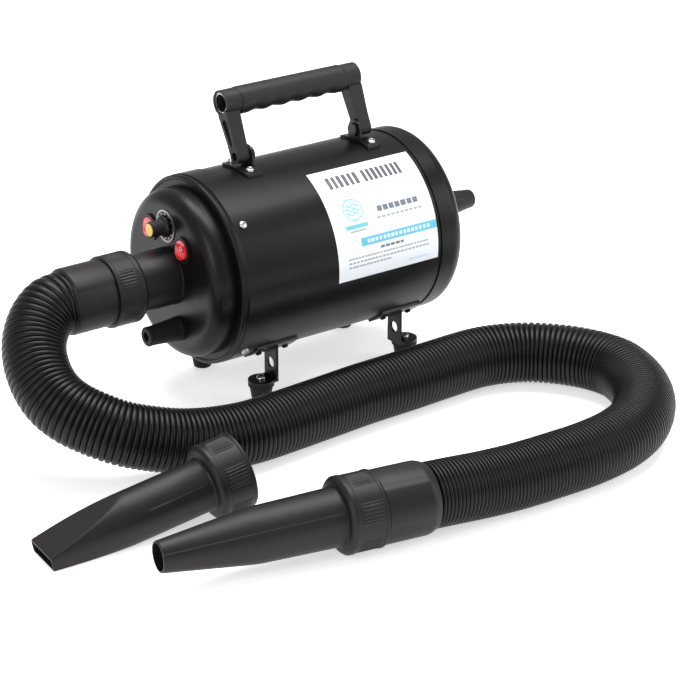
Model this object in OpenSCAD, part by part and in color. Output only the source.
// Pet dryer: a cylindrical blower with a folding handle, a ribbed hose and two nozzles.
// +X runs from the outlet end to the air intake, +Z is up, and the floor is z = 0.

/* [Body] */
// Height of the blower's axis above the floor
axis_z = 128; // [126:1:140]
// Outer radius of the body tube
tube_r = 90; // [89.5:0.5:90.5]
// Wall of the body tube and of the pressed caps
sheet_t = 1.2; // [1:0.1:1.4]
// Front edge of the body tube
tube_front_x = -121; // [-122:0.5:-120]
// Rear edge of the body tube, inside the rear cap
tube_rear_x = 113; // [111:1:114]
// Front face of the domed front cover
face_x = -151.7; // [-152.5:0.1:-151]
// Radius of the domed cover's side wall
dome_r = 80.8; // [80:0.1:81]
// Radius of the dome's rounded shoulder
dome_shoulder = 14.4; // [12:0.2:15]
// Rear face of the rear cap
rear_x = 129.4; // [129:0.1:130]
// Radius of the rear cap's rounded edge
rear_round = 13.9; // [12:0.1:15]

/* [Handle] */
// Distance of each handle bracket from the middle of the body
tab_x = 62; // [60:0.5:62.5]
// Height of the handle's pivots above the blower's axis
pivot_h = 101.5; // [101:0.5:103]
// Distance from the pivots to the axis of the grip
handle_len = 51.5; // [50:0.5:56]
// Lean of the handle from upright as it stands
handle_lean = 26; // [0:1:60]
// Outer radius of the grip
grip_r = 13; // [12.5:0.5:13.5]
// Radius of the pivot pins
pin_r = 4; // [3.5:0.5:4]

/* [Feet] */
// Distance of the legs from the middle of the body
leg_x = 73; // [70:1:76]
// Sideways distance of the legs from the body's middle plane
leg_y = 52; // [50:1:54]
// Width of a leg strap
leg_w = 20; // [18:1:22]
// Thickness of the bracket steel
bracket_t = 2.5; // [2:0.25:3]
// Top radius of a rubber foot
foot_top_r = 12.6; // [11.6:0.2:13]
// Bottom radius of a rubber foot
foot_base_r = 8.6; // [8:0.2:10]
// Height of a rubber foot
foot_h = 21.5; // [20:0.5:23]

/* [Outlet and hose] */
// Outer radius of the outlet spigot
spigot_r = 27; // [26:0.5:27]
// Outer radius of the ribbed collars
collar_r = 34; // [33.5:0.5:34]
// Length of the hose collar at the outlet
collar_len = 31; // [30:1:32]
// Length of a nozzle's ribbed socket
socket_len = 35; // [34:1:36]
// Outer radius of the hose cuff at the dryer
cuff_r = 31; // [30.5:0.5:31.5]
// Outer radius of the hose cuff at the nozzle
nozzle_cuff_r = 32.5; // [31.5:0.5:32.5]
// Outer radius of the hose
hose_r = 29.2; // [28.5:0.1:29.5]
// Inner radius of the hose
hose_bore_r = 25; // [24:0.5:26]
// Length of the outlet cuff outside its collar
cuff_len = 42; // [40:1:44]
// Length of the nozzle cuff outside its socket
nozzle_cuff_len = 51; // [48:1:54]

/* [Nozzles] */
// Heading of the hose's free end, seen from above
nozzle_turn = 170.4; // [168:0.2:172]
// Length of the round nozzle ahead of its collar
round_len = 159; // [150:1:170]
// Outer radius of the round nozzle's tip
round_tip_r = 13.5; // [12:0.5:14]
// Length of the flat nozzle from its open end to its slot
flat_len = 189; // [180:1:196]
// Width of the flat nozzle's tip
flat_tip_w = 42; // [38:1:44]
// Height of the flat nozzle's tip
flat_tip_h = 12; // [11:0.5:14]

/* [Controls] */
// Radius of a round rocker
rocker_r = 9.8; // [9:0.1:10]
// Radius of a switch bezel
bezel_r = 12.8; // [12:0.2:13]
// Throw of a rocker
rocker_throw = 16; // [12:1:18]
// Radius of the speed knob's tip
knob_r = 7.2; // [7:0.1:8]
// Length of the speed knob
knob_len = 18; // [16:1:20]
// Outer radius of the silver dial
dial_r = 15.5; // [14:0.5:16]

/* [Hidden] */
$fn = 96;

// Paint, plastic and metal colours
c_paint = [0.10, 0.10, 0.11];
c_plastic = [0.13, 0.13, 0.14];
c_rubber = [0.08, 0.08, 0.08];
c_steel = [0.75, 0.75, 0.76];
c_zinc = [0.62, 0.63, 0.65];
c_copper = [0.72, 0.42, 0.22];

// Front ring: skirt over the tube, rolled bead and the recess round the dome
ring_skirt_x = -99.5;
ring_groove_x = -123;
ring_skirt_r = tube_r + 1.1;
bead_r = 2.3;
bead_x = ring_groove_x - 3.2;
bead_ring_r = 88.5;
web_x = -127.4;
cover_gap = 0.1;
ring_inner_r = 87;
cover_flange_r = 86.5;
skirt_screw_x = -112.5;
skirt_screw_angles = [43, 137, 223, 317];

// Rear cap and intake
cap_skirt_x = 100;
cap_r = tube_r + 1.1;
intake_r = 52;
grille_r = 58;
grille_x = rear_x + 0.1;
grille_depth = 24;
grille_top_r = 30;
grille_t = 2;
stud_r = 3;
knob_x = grille_x + grille_depth + 0.1;
knob_flange_x = 177;
knob_tip_x = 207;

// Handle brackets: a curved foot on the tube and an upright tab
plate_half_y = 23;
plate_w = 18;
plate_screw = 8;
tab_half_w = 9.5;
tab_top_r = 9.5;
arm_gap = 0.5;
arm_low_w = 13;
arm_high_w = 15;
arm_low_r = 7;
arm_high_r = 7.8;
arm_bore_r = pin_r + 0.06;
hub_r = 12.4;
hub_w = 17;
core_r = 10;
core_bore_r = 8.5;
pivot_z = axis_z + pivot_h;
arm_in_x = tab_x + bracket_t / 2 + arm_gap;

// Feet
leg_base_arc = 14;
leg_base_half = 23;
foot_plate_z = foot_h;
foot_reach = 12;
leg_hole_r = 5.5;
foot_screw_r = 2.4;
pocket_r = 4.5;
pocket_h = 9;

// Outlet side, all on the blower's axis
collar_x1 = -192;
collar_x0 = collar_x1 - collar_len;
cuff_end_x = collar_x0 - cuff_len;
spigot_end_x = -219;
spigot_t = 2.5;
nose_r = 29.2;
turn_gap = 0.08;
rib_h = 0.6;
lip_round = 4;

// Free end of the hose: the cuff starts here and the nozzle points along nozzle_turn
hose_end = [-116, -350, 34.2];
push_fit = 0.06;
nozzle_t = 2.4;
round_neck_r = 25.5;
round_mid_r = 24;
round_mid = 76;
flat_start = [-222.5, -223];
flat_turn = 174.8;
flat_neck_r = 23.5;
flat_wedge = 114;
// From its heel on, the neck's underside rises so that the tilted nozzle clears the floor
flat_heel = 90;
flat_lift = 2.1;
// The loose nozzle lies on its socket's lip and on the lower edge of its tip
flat_reach = flat_len - socket_len + lip_round;
flat_drop = collar_r - lip_round - flat_tip_h / 2;
flat_tilt = atan(flat_drop / flat_reach) + asin(lip_round / norm([flat_reach, flat_drop]));
flat_axis_z = lip_round + flat_drop * cos(flat_tilt) + flat_tip_h / 2 * cos(flat_tilt)
    + (socket_len - lip_round) * sin(flat_tilt);

// Route of the hose's centre line, from the dryer's cuff to the nozzle's cuff
hose_route = [
    [cuff_end_x, 0, axis_z], [-279, -2, 127], [-293, -8, 120], [-305, -18, 109], [-313, -32, 97],
    [-317, -50, 84], [-316, -68, 73], [-309, -86, 64], [-296, -103, 56], [-278, -120, 48],
    [-255, -132, 41], [-228, -142, 35], [-198, -148, 31], [-163, -152, 29.3], [-123, -151, 29.3],
    [-78, -148, 29.3], [-33, -145, 29.3], [17, -144, 29.3], [67, -142, 29.3], [102, -142, 29.3],
    [128, -148, 29.3], [150, -159, 29.3], [168, -175, 29.3], [183, -195, 29.3], [194, -219, 29.3],
    [197, -246, 29.3], [185, -283, 29.3], [163, -315, 29.3], [131, -341, 29.3], [97, -355, 29.3],
    [57, -361, 29.3], [17, -361, 29.3], [-23, -359, 29.3], [-58, -356, 30.5], [-88, -353.5, 32.8],
    hose_end];

// Controls, measured from the blower's axis as [y, z]
power_at = [31, 39];
heat_at = [-25.5, 33.5];
speed_at = [3, 48.7];
gland_at = [-15, -48];
bezel_t = 2;
switch_depth = 18;
rocker_pin_r = 1.2;
shaft_r = 3;

// Motor and heater, along the blower's axis
bulkhead_x = 62;
fan_x0 = 22;
fan_r = 66;
motor_r = 46;
shaft_len = 128;
heater_x0 = -134;
heater_len = 62;

// ---------- helpers ----------

// Points on a circular arc in a profile
function arc(c, r, a0, a1, n = 8) =
    [for (i = [0:n]) let (a = a0 + (a1 - a0) * i / n) [c[0] + r * cos(a), c[1] + r * sin(a)]];

// Turns a child made about +Z so that it lies on the blower's axis, starting at x
module on_axis(x = 0, y = 0, z = 0) {
    translate([x, y, axis_z + z])
        rotate([0, 90, 0])
            children();
}

// A solid of revolution about the blower's axis, from a profile of [radius, x] points
module turned(profile, y = 0, z = 0) {
    on_axis(0, y, z)
        rotate_extrude()
            polygon(profile);
}

// A ring or tube on the blower's axis from x0 to x1
module ring(x0, x1, r_out, r_in, y = 0, z = 0) {
    on_axis(x0, y, z)
        difference() {
            cylinder(r = r_out, h = x1 - x0);
            translate([0, 0, -1])
                cylinder(r = r_in, h = x1 - x0 + 2);
        }
}

// A pan head screw along +Z: the head sits on z = 0 and the shank goes down
module pan_screw(head_r, head_h, shank_r, shank_len) {
    difference() {
        rotate_extrude()
            polygon(concat([[0, 0], [head_r, 0], [head_r, head_h * 0.45]],
                           arc([head_r * 0.55, head_h * 0.45], head_r * 0.45, 20, 80, 4),
                           [[0, head_h]]));
        for (turn = [0, 90])
            rotate(turn)
                translate([-head_r * 0.5, -0.4, head_h * 0.5])
                    cube([head_r, 0.8, head_h]);
    }
    translate([0, 0, -shank_len])
        cylinder(r = shank_r, h = shank_len, $fn = 32);
}

// Puts a child, made along +Z, on the tube's surface: a is 0 at -Y and 90 at the top
module on_tube(x, a, r) {
    translate([x, 0, axis_z])
        rotate([90 - a, 0, 0])
            translate([0, 0, r])
                children();
}

// Grip ribs in groups round a collar, made along +Z from z0 for length len
module grip_ribs(z0, len) {
    for (group = [0:5])
        for (rib = [-2:2])
            rotate(group * 60 + rib * 6)
                translate([collar_r - rib_h - 0.5, -0.6, z0])
                    cube([rib_h + 0.45, 1.2, len]);
}

// ---------- housing ----------

module body_tube() {
    color(c_paint)
        difference() {
            ring(tube_front_x, tube_rear_x, tube_r, tube_r - sheet_t);
            for (a = skirt_screw_angles)
                on_tube(skirt_screw_x, a, tube_r - 4)
                    cylinder(r = 2.1, h = 8, $fn = 32);
        }
}

module front_ring() {
    profile = concat(
        [[tube_r + 0.05, ring_skirt_x], [ring_skirt_r, ring_skirt_x], [ring_skirt_r, ring_groove_x + 1.5],
         [ring_skirt_r - 1.5, ring_groove_x]],
        arc([bead_ring_r, bead_x], bead_r, 60, -150, 12),
        [[dome_r + cover_gap, web_x], [dome_r + cover_gap, web_x + 1.2], [ring_inner_r, web_x + 1.2],
         [ring_inner_r, tube_front_x - 0.1], [tube_r + 0.05, tube_front_x - 0.1]]);
    color(c_paint)
        difference() {
            turned(profile);
            for (a = skirt_screw_angles)
                on_tube(skirt_screw_x, a, tube_r - 2)
                    cylinder(r = 2.1, h = 8, $fn = 32);
        }
}

module cover_shell(grow) {
    r = dome_r + grow;
    round_r = dome_shoulder + grow;
    turned(concat([[0, web_x + 1.3], [r, web_x + 1.3]],
                  arc([dome_r - dome_shoulder, face_x + dome_shoulder], round_r, 0, -90, 10),
                  [[0, face_x - grow]]));
}

module front_cover() {
    color(c_paint)
        difference() {
            union() {
                cover_shell(0);
                on_axis(web_x + 1.3)
                    cylinder(r = cover_flange_r, h = sheet_t);
            }
            cover_shell(-sheet_t);
            on_axis(web_x)
                cylinder(r = dome_r - sheet_t, h = 10);
            on_axis(face_x - 5)
                cylinder(r = spigot_r + 0.1, h = 10);
            for (at = [power_at, heat_at])
                on_axis(face_x - 5, at[0], at[1])
                    cylinder(r = bezel_r - 1.5, h = 10);
            on_axis(face_x - 5, speed_at[0], speed_at[1])
                cylinder(r = 4.6, h = 10);
            on_axis(face_x - 5, gland_at[0], gland_at[1])
                cylinder(r = 8.1, h = 10);
        }
}

module front_ring_screws() {
    color(c_steel)
        for (a = skirt_screw_angles)
            on_tube(skirt_screw_x, a, ring_skirt_r + 0.05)
                pan_screw(3.8, 2.4, 1.9, 7);
}

module rear_cap() {
    color(c_paint)
        difference() {
            turned(concat([[0, cap_skirt_x], [cap_r, cap_skirt_x]],
                          arc([cap_r - rear_round, rear_x - rear_round], rear_round, 0, 90, 10),
                          [[0, rear_x]]));
            turned(concat([[0, cap_skirt_x - 1], [tube_r + 0.05, cap_skirt_x - 1]],
                          arc([cap_r - rear_round, rear_x - rear_round],
                              rear_round - cap_r + tube_r + 0.05, 0, 90, 10),
                          [[0, rear_x - 1.05]]));
            on_axis(rear_x - 10)
                cylinder(r = intake_r, h = 20);
            for (a = [45:90:315])
                on_axis(rear_x - 10)
                    rotate(a)
                        translate([66, 0, 0])
                            cylinder(r = 2.1, h = 20, $fn = 32);
        }
}

module rear_cap_screws() {
    color(c_steel)
        for (a = [45:90:315])
            on_axis(rear_x + 0.05)
                rotate(a)
                    translate([66, 0, 0])
                        pan_screw(3.8, 2.4, 1.9, 8);
}

// Shallow cone with a rounded nose: the removable cover over the air filter
module grille_solid(grow) {
    turned([[0, grille_x], [grille_r - 6 + grow, grille_x], [grille_top_r + grow, grille_x + grille_depth],
            [0, grille_x + grille_depth + grow]]);
}

module intake_grille() {
    color(c_plastic)
        difference() {
            union() {
                grille_solid(0);
                ring(grille_x, grille_x + 3, grille_r, 10);
            }
            difference() {
                grille_solid(-grille_t);
                on_axis(grille_x - 1)
                    cylinder(r = 9, h = grille_depth + 2);
            }
            on_axis(grille_x - 5)
                difference() {
                    cylinder(r = grille_r - 8, h = 10);
                    cylinder(r = 9, h = 10);
                }
            on_axis(grille_x - 5)
                cylinder(r = stud_r + 0.4, h = grille_depth + 10);
            for (a = [0:20:340])
                on_axis(grille_x + 8)
                    rotate(a)
                        translate([22, -2, 0])
                            cube([40, 4, grille_depth - 14]);
        }
}

module filter_foam() {
    color([0.2, 0.2, 0.21])
        turned([[10, grille_x + 0.2], [grille_r - 9.5, grille_x + 0.2],
                [grille_top_r - 3.5, grille_x + grille_depth - 3], [10, grille_x + grille_depth - 3]]);
}

module filter_stud() {
    color(c_zinc) {
        on_axis(bulkhead_x + 8.1)
            cylinder(r = stud_r, h = knob_x + 20 - bulkhead_x - 8.1);
        on_axis(bulkhead_x + 8.1)
            cylinder(r = 7, h = 4, $fn = 6);
    }
}

module filter_knob() {
    color(c_plastic)
        difference() {
            turned(concat([[0, knob_x], [9, knob_x], [9, knob_flange_x], [11.6, knob_flange_x + 3],
                           [9.6, knob_tip_x - 4]],
                          arc([6.6, knob_tip_x - 3], 3, 0, 90, 4),
                          [[0, knob_tip_x]]));
            on_axis(knob_x - 1)
                cylinder(r = stud_r + 0.06, h = 22);
        }
}

// ---------- handle ----------

// Puts children of the handle, made upright over the pivots, at the standing lean
module leaning() {
    translate([0, 0, pivot_z])
        rotate([-handle_lean, 0, 0])
            children();
}

module handle_grip() {
    half = arm_in_x - 4;
    color(c_plastic)
        leaning()
            translate([-half, 0, handle_len])
                rotate([0, 90, 0])
                    difference() {
                        union() {
                            cylinder(r = grip_r, h = half * 2);
                            for (i = [0:3])
                                translate([0.6, 0, half * 2 * (0.2 + 0.2 * i) - 7])
                                    cylinder(r = grip_r + 0.2, h = 14);
                        }
                        translate([0, 0, -1])
                            cylinder(r = core_r + 0.1, h = half * 2 + 2);
                    }
}

module handle_core_tube() {
    half = arm_in_x + hub_w - 4.9;
    color(c_zinc)
        leaning()
            translate([-half, 0, handle_len])
                rotate([0, 90, 0])
                    difference() {
                        cylinder(r = core_r, h = half * 2);
                        translate([0, 0, -1])
                            cylinder(r = core_bore_r, h = half * 2 + 2);
                    }
}

// One arm, for the side at +X: it tapers from the hub down to the pivot
module arm() {
    mid = arm_in_x + arm_low_w / 2;
    bend = 13;
    difference() {
        union() {
            hull()
                for (z = [0, bend])
                    translate([arm_in_x, 0, z])
                        rotate([0, 90, 0])
                            cylinder(r = arm_low_r, h = arm_low_w, $fn = 32);
            hull() {
                translate([arm_in_x, 0, bend])
                    rotate([0, 90, 0])
                        cylinder(r = arm_low_r, h = arm_low_w, $fn = 32);
                translate([mid - arm_high_w / 2, 0, handle_len - 12])
                    rotate([0, 90, 0])
                        cylinder(r = arm_high_r, h = arm_high_w, $fn = 32);
            }
            translate([arm_in_x - 3.9, 0, handle_len])
                rotate([0, 90, 0])
                    cylinder(r = hub_r, h = hub_w);
        }
        translate([arm_in_x - 10, 0, handle_len])
            rotate([0, 90, 0])
                cylinder(r = core_r + 0.05, h = 40);
        translate([arm_in_x - 10, 0, 0])
            rotate([0, 90, 0])
                cylinder(r = arm_bore_r, h = 40);
        hull() {
            translate([arm_in_x + arm_low_w - 2.5, 0, 11])
                rotate([0, 90, 0])
                    cylinder(r = 1.5, h = 12, $fn = 24);
            translate([arm_in_x + arm_low_w - 1, 0, handle_len - 20])
                rotate([0, 90, 0])
                    cylinder(r = 4, h = 12, $fn = 24);
        }
    }
}

module handle_arm_rear() {
    color(c_plastic)
        leaning()
            arm();
}

module handle_arm_front() {
    color(c_plastic)
        leaning()
            mirror([1, 0, 0])
                arm();
}

module handle_bracket() {
    difference() {
        union() {
            intersection() {
                ring(tab_x - bracket_t / 2, tab_x - bracket_t / 2 + plate_w, tube_r + 0.05 + bracket_t,
                     tube_r + 0.05);
                translate([tab_x - bracket_t / 2, 0, axis_z])
                    linear_extrude(tube_r + 10)
                        hull() {
                            translate([0, -plate_half_y])
                                square([2, plate_half_y * 2]);
                            for (side = [-1, 1])
                                translate([plate_w - 6, side * (plate_half_y - 6)])
                                    circle(r = 6, $fn = 32);
                        }
            }
            translate([tab_x - bracket_t / 2, 0, pivot_z])
                rotate([90, 0, 90])
                    linear_extrude(bracket_t)
                        union() {
                            circle(r = tab_top_r);
                            translate([-tab_half_w, tube_r - pivot_h + 0.9])
                                square([tab_half_w * 2, pivot_h - tube_r - 0.9]);
                        }
        }
        translate([tab_x - 10, 0, pivot_z])
            rotate([0, 90, 0])
                cylinder(r = pin_r, h = 20);
        for (side = [-1, 1])
            translate([tab_x + plate_screw, side * 15.5, axis_z + tube_r - 8])
                cylinder(r = 2.1, h = 20, $fn = 32);
    }
}

module handle_bracket_rear() {
    color(c_paint)
        handle_bracket();
}

module handle_bracket_front() {
    color(c_paint)
        mirror([1, 0, 0])
            handle_bracket();
}

module handle_bracket_screws() {
    tilt = asin(15.5 / (tube_r + bracket_t));
    color(c_steel)
        for (end = [-1, 1])
            for (side = [-1, 1])
                on_tube(end * (tab_x + plate_screw), 90 + side * tilt, tube_r + bracket_t + 0.15)
                    pan_screw(4, 2.2, 1.6, 2);
}

module handle_pivot_pins() {
    color(c_zinc)
        for (end = [0, 1])
            mirror([end, 0, 0])
                translate([tab_x - bracket_t / 2 - 3.1, 0, pivot_z])
                    rotate([0, 90, 0]) {
                        cylinder(r = 6.5, h = 3);
                        cylinder(r = pin_r, h = 3.1 + bracket_t + arm_gap + 9);
                    }
}

// ---------- feet ----------

// One foot bracket, for the leg at +X and -Y
module foot_bracket() {
    base_a = -acos(leg_y / (tube_r + bracket_t / 2));
    difference() {
        union() {
            intersection() {
                ring(leg_x - leg_base_half, leg_x + leg_base_half, tube_r + 0.05 + bracket_t, tube_r + 0.05);
                on_tube(leg_x, base_a, tube_r - 5)
                    translate([-leg_base_half, -leg_base_arc, 0])
                        cube([leg_base_half * 2, leg_base_arc * 2, 20]);
            }
            intersection() {
                translate([leg_x - bracket_t / 2, -leg_y - leg_w / 2, foot_plate_z])
                    cube([bracket_t, leg_w, axis_z - foot_plate_z]);
                difference() {
                    translate([leg_x - 20, -leg_y - leg_w, foot_plate_z])
                        cube([40, leg_w * 2, axis_z - foot_plate_z]);
                    on_axis(leg_x - 30)
                        cylinder(r = tube_r + 0.6, h = 60);
                }
            }
            translate([leg_x + foot_reach, -leg_y, foot_plate_z])
                cylinder(r = foot_top_r, h = bracket_t);
            translate([leg_x - bracket_t / 2, -leg_y - leg_w / 2, foot_plate_z])
                cube([foot_reach, leg_w, bracket_t]);
        }
        translate([leg_x - 5, -leg_y, foot_plate_z + 17])
            rotate([0, 90, 0])
                cylinder(r = leg_hole_r, h = 10);
        translate([leg_x + foot_reach, -leg_y, foot_plate_z - 5])
            cylinder(r = foot_screw_r + 0.1, h = 10);
        for (end = [-1, 1])
            on_tube(leg_x + end * 15, base_a, tube_r - 5)
                cylinder(r = 1.8, h = 20, $fn = 32);
    }
}

module foot_bracket_rear_left() {
    color(c_paint)
        foot_bracket();
}

module foot_bracket_rear_right() {
    color(c_paint)
        mirror([0, 1, 0])
            foot_bracket();
}

module foot_bracket_front_left() {
    color(c_paint)
        mirror([1, 0, 0])
            foot_bracket();
}

module foot_bracket_front_right() {
    color(c_paint)
        mirror([1, 0, 0])
            mirror([0, 1, 0])
                foot_bracket();
}

module foot_bracket_screws() {
    base_a = acos(leg_y / (tube_r + bracket_t / 2));
    color(c_paint)
        for (leg = [-1, 1])
            for (a = [-base_a, base_a - 180])
                for (end = [-1, 1])
                    on_tube(leg * leg_x + end * 15, a, tube_r + bracket_t + 0.1)
                        pan_screw(3, 1.8, 1.5, 2);
}

module rubber_foot(sx, sy) {
    color(c_rubber)
        translate([sx * (leg_x + foot_reach), sy * leg_y, 0])
            difference() {
                rotate_extrude()
                    polygon([[0, 0], [foot_base_r - 0.8, 0], [foot_base_r, 0.8],
                             [foot_top_r - 1.3, foot_h - 4], [foot_top_r, foot_h - 3.4],
                             [foot_top_r, foot_h - 0.05], [0, foot_h - 0.05]]);
                translate([0, 0, foot_h - 10])
                    cylinder(r = foot_screw_r, h = 20);
                translate([0, 0, -1])
                    cylinder(r = pocket_r, h = pocket_h + 1);
            }
}

module rubber_foot_front_left() {
    rubber_foot(-1, -1);
}

module rubber_foot_front_right() {
    rubber_foot(-1, 1);
}

module rubber_foot_rear_left() {
    rubber_foot(1, -1);
}

module rubber_foot_rear_right() {
    rubber_foot(1, 1);
}

module foot_screws() {
    color(c_steel)
        for (sx = [-1, 1])
            for (sy = [-1, 1])
                translate([sx * (leg_x + foot_reach), sy * leg_y, foot_plate_z + bracket_t + 0.05])
                    pan_screw(4.5, 2.4, foot_screw_r - 0.05, bracket_t + 7);
}

// ---------- outlet, hose and nozzles ----------

module outlet_spigot() {
    color(c_plastic)
        difference() {
            union() {
                ring(spigot_end_x, face_x + 6, spigot_r, spigot_r - spigot_t);
                ring(face_x + sheet_t + 0.1, face_x + sheet_t + 3, spigot_r + 6, spigot_r - 0.5);
            }
            on_axis(face_x + sheet_t, heat_at[0], heat_at[1])
                cylinder(r = bezel_r - 1.4, h = 10);
        }
}

module outlet_nut() {
    color(c_plastic)
        ring(face_x + sheet_t + 3.1, face_x + sheet_t + 4.6, spigot_r + 1.2, spigot_r + 0.1);
}

// Collar with a lip at each end and ribs between, made along +Z: the open end is z = 0
module collar_solid(len) {
    barrel_r = collar_r - rib_h;
    rotate_extrude()
        polygon(concat([[0, 0], [collar_r - 0.8, 0], [collar_r, 0.8], [collar_r, 3], [barrel_r, 3.6],
                        [barrel_r, len - 8.6], [collar_r, len - 8]],
                       arc([collar_r - lip_round, len - lip_round], lip_round, 0, 90, 6),
                       [[0, len]]));
    grip_ribs(2.5, len - 10.5);
}

module hose_collar() {
    color(c_plastic)
        on_axis(collar_x0)
            difference() {
                collar_solid(collar_len);
                translate([0, 0, -1])
                    cylinder(r = nose_r + turn_gap, h = collar_len - 3);
                cylinder(r = spigot_r + turn_gap, h = collar_len + 5);
            }
}

// Hose cuff along +Z, from the hose at z = 0 to the end of its nose
module cuff(len, nose_len, bore, r, taper) {
    difference() {
        union() {
            rotate_extrude()
                polygon([[0, 0], [r - taper, 0], [r, 2 * taper + 1], [r, len - 0.3], [0, len - 0.3]]);
            cylinder(r = nose_r, h = len + nose_len);
            for (a = [0:120:240])
                rotate(a)
                    translate([r - 1.2, -5, 12])
                        cube([1.8, 10, len - 14]);
        }
        translate([0, 0, -1])
            cylinder(r = bore, h = len + nose_len + 2);
    }
}

module hose_cuff_dryer() {
    color(c_plastic)
        on_axis(cuff_end_x)
            cuff(cuff_len, collar_len - 4.5, spigot_r + push_fit, cuff_r, 1.5);
}

// Sweeps rings of points along a list of centre points
function unit(v) = v / norm(v);
function heading(path, i) =
    i == 0 ? unit(path[1] - path[0]) :
    i == len(path) - 1 ? unit(path[i] - path[i - 1]) :
    unit(unit(path[i + 1] - path[i]) + unit(path[i] - path[i - 1]));
function side_of(d) = unit(cross([0, 0, 1], d));
function ring_at(p, d, r, n) =
    let (u = side_of(d), v = cross(d, u))
        [for (k = [0:n - 1]) p + r * (cos(360 * k / n) * u + sin(360 * k / n) * v)];
// One more point between each pair, on a smooth curve through the route
function curve_point(a, b, c, d, t) =
    0.5 * (2 * b + (c - a) * t + (2 * a - 5 * b + 4 * c - d) * t * t + (3 * b - a - 3 * c + d) * t * t * t);
function smooth(path) =
    let (last = len(path) - 1)
        [for (i = [0:last - 1]) for (t = [0, 0.5])
            curve_point(path[max(i - 1, 0)], path[i], path[i + 1], path[min(i + 2, last)], t),
         path[last]];

module sweep(path, r, n) {
    count = len(path);
    rings = [for (i = [0:count - 1])
        each ring_at(path[i],
                     i == 0 ? [-1, 0, 0] :
                     i == count - 1 ? [cos(nozzle_turn), sin(nozzle_turn), 0] : heading(path, i), r, n)];
    sides = [for (i = [0:count - 2]) for (k = [0:n - 1])
        [i * n + k, i * n + (k + 1) % n, (i + 1) * n + (k + 1) % n, (i + 1) * n + k]];
    ends = [[for (k = [n - 1:-1:0]) k], [for (k = [0:n - 1]) (count - 1) * n + k]];
    polyhedron(points = rings, faces = concat([for (f = sides) [f[3], f[2], f[1], f[0]]],
        [for (f = ends) [for (k = [len(f) - 1:-1:0]) f[k]]]));
}

module hose() {
    color(c_rubber)
        sweep(smooth(hose_route), hose_r, 12);
}

// Puts a child, made along +Z, on the axis of the hose's free end
module on_hose_end(s = 0) {
    translate(hose_end)
        rotate([0, 90, nozzle_turn])
            translate([0, 0, s])
                children();
}

module hose_cuff_nozzle() {
    color(c_plastic)
        on_hose_end()
            cuff(nozzle_cuff_len, socket_len - 4.5, hose_bore_r, nozzle_cuff_r, 3.3);
}

module round_nozzle() {
    neck = socket_len;
    tip = socket_len + round_len;
    color(c_plastic)
        on_hose_end(nozzle_cuff_len)
            difference() {
                union() {
                    collar_solid(socket_len);
                    rotate_extrude()
                        polygon([[0, neck - 1], [round_neck_r, neck - 1], [round_mid_r, neck + round_mid],
                                 [round_mid_r - 0.6, neck + round_mid + 8], [round_tip_r, tip], [0, tip]]);
                    translate([0, -0.5, neck])
                        cube([round_neck_r - 0.2, 1, 60]);
                }
                translate([0, 0, -1])
                    cylinder(r = nose_r + push_fit, h = socket_len - 2);
                rotate_extrude()
                    polygon([[0, neck - 4], [round_neck_r - nozzle_t, neck - 4],
                             [round_mid_r - nozzle_t, neck + round_mid], [round_tip_r - 2, tip + 1],
                             [0, tip + 1]]);
            }
}

module flat_nozzle() {
    neck = socket_len;
    color(c_plastic)
        translate([flat_start[0], flat_start[1], flat_axis_z])
            rotate([0, 90 + flat_tilt, flat_turn])
                difference() {
                    union() {
                        collar_solid(socket_len);
                        translate([0, 0, neck - 1])
                            cylinder(r = flat_neck_r, h = flat_heel - neck + 1);
                        hull() {
                            translate([0, 0, flat_heel - 2])
                                cylinder(r = flat_neck_r, h = 2, $fn = 48);
                            translate([-flat_lift, 0, flat_wedge - 1])
                                cylinder(r = flat_neck_r - flat_lift, h = 1, $fn = 48);
                            translate([-flat_tip_h / 2, -flat_tip_w / 2, flat_len - 1])
                                cube([flat_tip_h, flat_tip_w, 1]);
                        }
                    }
                    translate([0, 0, -1])
                        cylinder(r = nose_r + push_fit, h = socket_len - 2);
                    translate([0, 0, neck - 4])
                        cylinder(r = flat_neck_r - nozzle_t, h = flat_heel - neck + 4);
                    hull() {
                        translate([0, 0, flat_heel - 1])
                            cylinder(r = flat_neck_r - nozzle_t, h = 1, $fn = 48);
                        translate([-flat_lift, 0, flat_wedge - 1])
                            cylinder(r = flat_neck_r - flat_lift - nozzle_t, h = 1, $fn = 48);
                        translate([-flat_tip_h / 2 + 2, -flat_tip_w / 2 + 2, flat_len])
                            cube([flat_tip_h - 4, flat_tip_w - 4, 2]);
                    }
                }
}

// ---------- controls ----------

module switch_body(at) {
    color(c_plastic)
        difference() {
            union() {
                ring(face_x - bezel_t, face_x - 0.05, bezel_r, rocker_r + 0.4, at[0], at[1]);
                on_axis(face_x - 0.05, at[0], at[1])
                    cylinder(r = bezel_r - 1.7, h = switch_depth);
            }
            on_axis(face_x - 0.1, at[0], at[1])
                cylinder(r = rocker_r + 0.4, h = 7);
            translate([face_x + 2, at[0] - bezel_r + 1, axis_z + at[1]])
                rotate([-90, 0, 0])
                    cylinder(r = rocker_pin_r + 0.06, h = 2 * bezel_r - 2, $fn = 32);
        }
}

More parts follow.
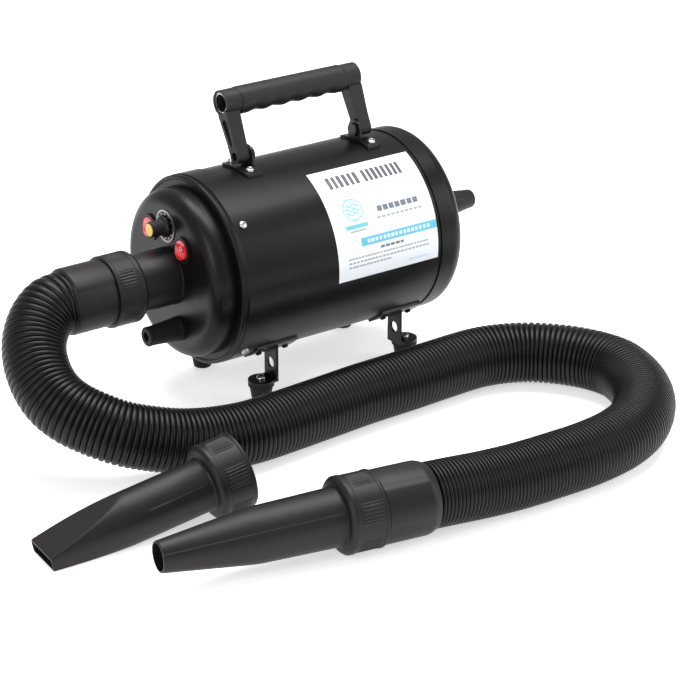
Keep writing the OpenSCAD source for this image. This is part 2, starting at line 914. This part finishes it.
// A round rocker that turns about a pin along Y, resting with its top pressed in
module rocker(at) {
    color([0.85, 0.08, 0.10])
        translate([face_x + 2, at[0], axis_z + at[1]])
            rotate([0, rocker_throw / 2, 0]) {
                difference() {
                    union() {
                        translate([-5.4, 0, 0])
                            rotate([0, 90, 0])
                                cylinder(r1 = rocker_r - 0.8, r2 = rocker_r - 0.6, h = 3.4);
                        translate([-2.5, -rocker_r * 0.6, -4])
                            cube([3, rocker_r * 1.2, 8]);
                    }
                    translate([-24, 0, 0])
                        rotate([90, 0, 0])
                            cylinder(r = 19.4, h = 40, center = true);
                }
                rotate([90, 0, 0])
                    cylinder(r = rocker_pin_r, h = 2 * (rocker_r + 1), center = true, $fn = 32);
            }
}

module power_switch_body() {
    switch_body(power_at);
}

module power_rocker() {
    rocker(power_at);
}

module heat_switch_body() {
    switch_body(heat_at);
}

module heat_rocker() {
    rocker(heat_at);
}

module speed_potentiometer() {
    color(c_zinc)
        difference() {
            union() {
                on_axis(face_x - 4, speed_at[0], speed_at[1])
                    cylinder(r = 4.5, h = 8);
                on_axis(face_x + sheet_t + 0.05, speed_at[0], speed_at[1])
                    cylinder(r = 12, h = 12);
            }
            on_axis(face_x - 10, speed_at[0], speed_at[1])
                cylinder(r = shaft_r + 0.05, h = 20);
        }
}

module speed_shaft() {
    color(c_steel)
        on_axis(face_x - 16, speed_at[0], speed_at[1])
            cylinder(r = shaft_r, h = 24);
}

module speed_dial() {
    color(c_steel)
        ring(face_x - 1, face_x - 0.05, dial_r, 6, speed_at[0], speed_at[1]);
}

module speed_knob() {
    color(c_plastic)
        difference() {
            turned([[0, face_x - 1.4], [10, face_x - 1.4], [10, face_x - 4], [knob_r + 0.8, face_x - 5],
                    [knob_r, face_x - knob_len + 0.6], [knob_r - 0.6, face_x - knob_len],
                    [0, face_x - knob_len]], speed_at[0], speed_at[1]);
            on_axis(face_x - 16.05, speed_at[0], speed_at[1])
                cylinder(r = shaft_r + 0.02, h = 20);
            on_axis(face_x - 4.3, speed_at[0], speed_at[1])
                cylinder(r = 5, h = 10);
            on_axis(face_x - knob_len - 1, speed_at[0], speed_at[1])
                cylinder(r = knob_r - 1.2, h = 2);
        }
}

module speed_knob_cap() {
    color([0.95, 0.75, 0.15])
        on_axis(face_x - knob_len - 0.3, speed_at[0], speed_at[1])
            cylinder(r = knob_r - 1.25, h = 1.25);
}

module cable_gland() {
    color(c_rubber)
        turned([[4.6, face_x - 36], [8.6, face_x - 36], [9.4, face_x - 35.2], [9.4, face_x - 32],
                [9.2, face_x - 31], [11.2, face_x - 4], [11.8, face_x - 3], [11.8, face_x - 0.05],
                [8, face_x - 0.05], [8, face_x + 12], [4.6, face_x + 12]], gland_at[0], gland_at[1]);
}

module cable_gland_nut() {
    color(c_plastic)
        on_axis(face_x + sheet_t + 0.05, gland_at[0], gland_at[1])
            difference() {
                cylinder(r = 12, h = 5, $fn = 6);
                translate([0, 0, -1])
                    cylinder(r = 8.05, h = 8);
            }
}

module rating_label() {
    color([0.93, 0.95, 0.97])
        intersection() {
            ring(-21, 95.5, tube_r + 0.35, tube_r + 0.05);
            translate([-30, 0, axis_z])
                rotate([0, 90, 0])
                    linear_extrude(130)
                        polygon(concat([[0, 0]],
                            [for (a = [-6:6:66]) 110 * [-sin(a), -cos(a)]]));
        }
}

// ---------- inside ----------

module motor_bulkhead() {
    color(c_zinc)
        difference() {
            union() {
                ring(bulkhead_x, bulkhead_x + 1.5, tube_r - sheet_t - 0.2, 36);
                ring(bulkhead_x, bulkhead_x + 12, tube_r - sheet_t - 0.2, tube_r - sheet_t - 1.7);
                for (a = [0, 90])
                    on_axis(bulkhead_x + 1.5)
                        rotate(a)
                            translate([-37, -4, 0])
                                cube([74, 8, 6.5]);
            }
            on_axis(bulkhead_x - 10)
                cylinder(r = 24, h = 11.5);
        }
}

module motor_mount_ring() {
    color(c_rubber)
        difference() {
            ring(bulkhead_x - 8, bulkhead_x - 0.1, fan_r + 6, fan_r - 20);
            ring(bulkhead_x - 9, bulkhead_x - 4, fan_r + 0.1, fan_r - 21);
        }
}

module fan_housing() {
    color(c_zinc)
        difference() {
            on_axis(fan_x0)
                cylinder(r = fan_r, h = bulkhead_x - 4.1 - fan_x0);
            on_axis(fan_x0 + 1.5)
                cylinder(r = fan_r - 1.5, h = bulkhead_x - 4.1 - fan_x0 - 3);
            on_axis(fan_x0)
                cylinder(r = 22, h = 60);
            on_axis(fan_x0 - 1)
                cylinder(r = 10, h = 10);
        }
}

module fan_impeller() {
    depth = 24;
    color([0.8, 0.8, 0.82])
        on_axis(fan_x0 + 7) {
            difference() {
                union() {
                    cylinder(r = fan_r - 6, h = 1.5);
                    cylinder(r = 12, h = depth);
                }
                translate([0, 0, -1])
                    cylinder(r = 5, h = depth + 2);
            }
            for (a = [0:45:315])
                rotate(a)
                    linear_extrude(depth - 4)
                        polygon(concat(arc([28, -18], 24, 132, 28, 6), arc([28, -18], 22.8, 28, 132, 6)));
        }
}

module motor_frame() {
    color(c_zinc)
        difference() {
            on_axis(fan_x0 - 66)
                cylinder(r = motor_r, h = 65.9);
            on_axis(fan_x0 - 63)
                cylinder(r = motor_r - 2.5, h = 59.9);
            on_axis(fan_x0 - 70)
                cylinder(r = 11.05, h = 80);
            for (a = [0:60:300])
                on_axis(fan_x0 - 70)
                    rotate(a)
                        translate([29, 0, 0])
                            cylinder(r = 9, h = 80);
            for (a = [0:60:300])
                on_axis(fan_x0 - 14)
                    rotate(a)
                        translate([motor_r - 6, -8, 0])
                            cube([12, 16, 8]);
        }
}

module motor_stator() {
    color([0.45, 0.45, 0.48]) {
        ring(fan_x0 - 48, fan_x0 - 22, motor_r - 2.6, motor_r - 12);
        for (side = [-1, 1])
            intersection() {
                ring(fan_x0 - 48, fan_x0 - 22, motor_r - 11.9, 26);
                translate([fan_x0 - 60, side > 0 ? 10 : -60, axis_z - 20])
                    cube([50, 50, 40]);
            }
    }
}

module motor_armature() {
    color(c_copper) {
        on_axis(fan_x0 - 76)
            cylinder(r = 5, h = shaft_len - 16);
        ring(fan_x0 - 50, fan_x0 - 20, 25, 4.9);
        ring(fan_x0 - 58.5, fan_x0 - 53, 12, 4.9);
    }
}

module motor_bearings() {
    color(c_steel)
        for (x = [fan_x0 - 66, fan_x0 - 7.2])
            ring(x, x + 7, 11, 5.05);
}

module motor_brushes() {
    color([0.25, 0.25, 0.26])
        for (side = [0, 1])
            mirror([0, side, 0])
                translate([fan_x0 - 58.5, 12.1, axis_z - 3])
                    cube([5, 18, 6]);
}

module heater_frame() {
    color([0.85, 0.82, 0.7])
        difference() {
            union() {
                ring(heater_x0 + 1, heater_x0 + heater_len, 32, 30.8);
                for (a = [0, 90])
                    on_axis(heater_x0 + 1)
                        rotate(a)
                            translate([-31, -0.5, 0])
                                cube([62, 1, heater_len - 1]);
            }
            for (i = [0:4])
                ring(heater_x0 + 8 + 10 * i, heater_x0 + 12 + 10 * i, 24, 18);
        }
}

module heater_coil() {
    color([0.5, 0.45, 0.42])
        for (i = [0:4])
            on_axis(heater_x0 + 10 + 10 * i)
                rotate_extrude()
                    translate([21, 0])
                        circle(r = 1.5, $fn = 16);
}

module control_board() {
    color([0.1, 0.4, 0.2])
        translate([-95, -30, axis_z + 50])
            cube([55, 60, 1.6]);
    color(c_zinc)
        translate([-90, -20, axis_z + 51.6])
            cube([16, 40, 14]);
    color([0.9, 0.75, 0.2])
        translate([-66, 4, axis_z + 51.6])
            cube([20, 18, 12]);
}

body_tube();
front_ring();
front_cover();
front_ring_screws();
rear_cap();
rear_cap_screws();
intake_grille();
filter_foam();
filter_stud();
filter_knob();
handle_grip();
handle_core_tube();
handle_arm_front();
handle_arm_rear();
handle_bracket_front();
handle_bracket_rear();
handle_bracket_screws();
handle_pivot_pins();
foot_bracket_front_left();
foot_bracket_front_right();
foot_bracket_rear_left();
foot_bracket_rear_right();
foot_bracket_screws();
rubber_foot_front_left();
rubber_foot_front_right();
rubber_foot_rear_left();
rubber_foot_rear_right();
foot_screws();
outlet_spigot();
outlet_nut();
hose_collar();
hose_cuff_dryer();
hose();
hose_cuff_nozzle();
round_nozzle();
flat_nozzle();
power_switch_body();
power_rocker();
heat_switch_body();
heat_rocker();
speed_potentiometer();
speed_shaft();
speed_knob();
speed_knob_cap();
speed_dial();
cable_gland();
cable_gland_nut();
rating_label();
motor_bulkhead();
motor_mount_ring();
fan_housing();
fan_impeller();
motor_frame();
motor_stator();
motor_armature();
motor_bearings();
motor_brushes();
heater_frame();
heater_coil();
control_board();
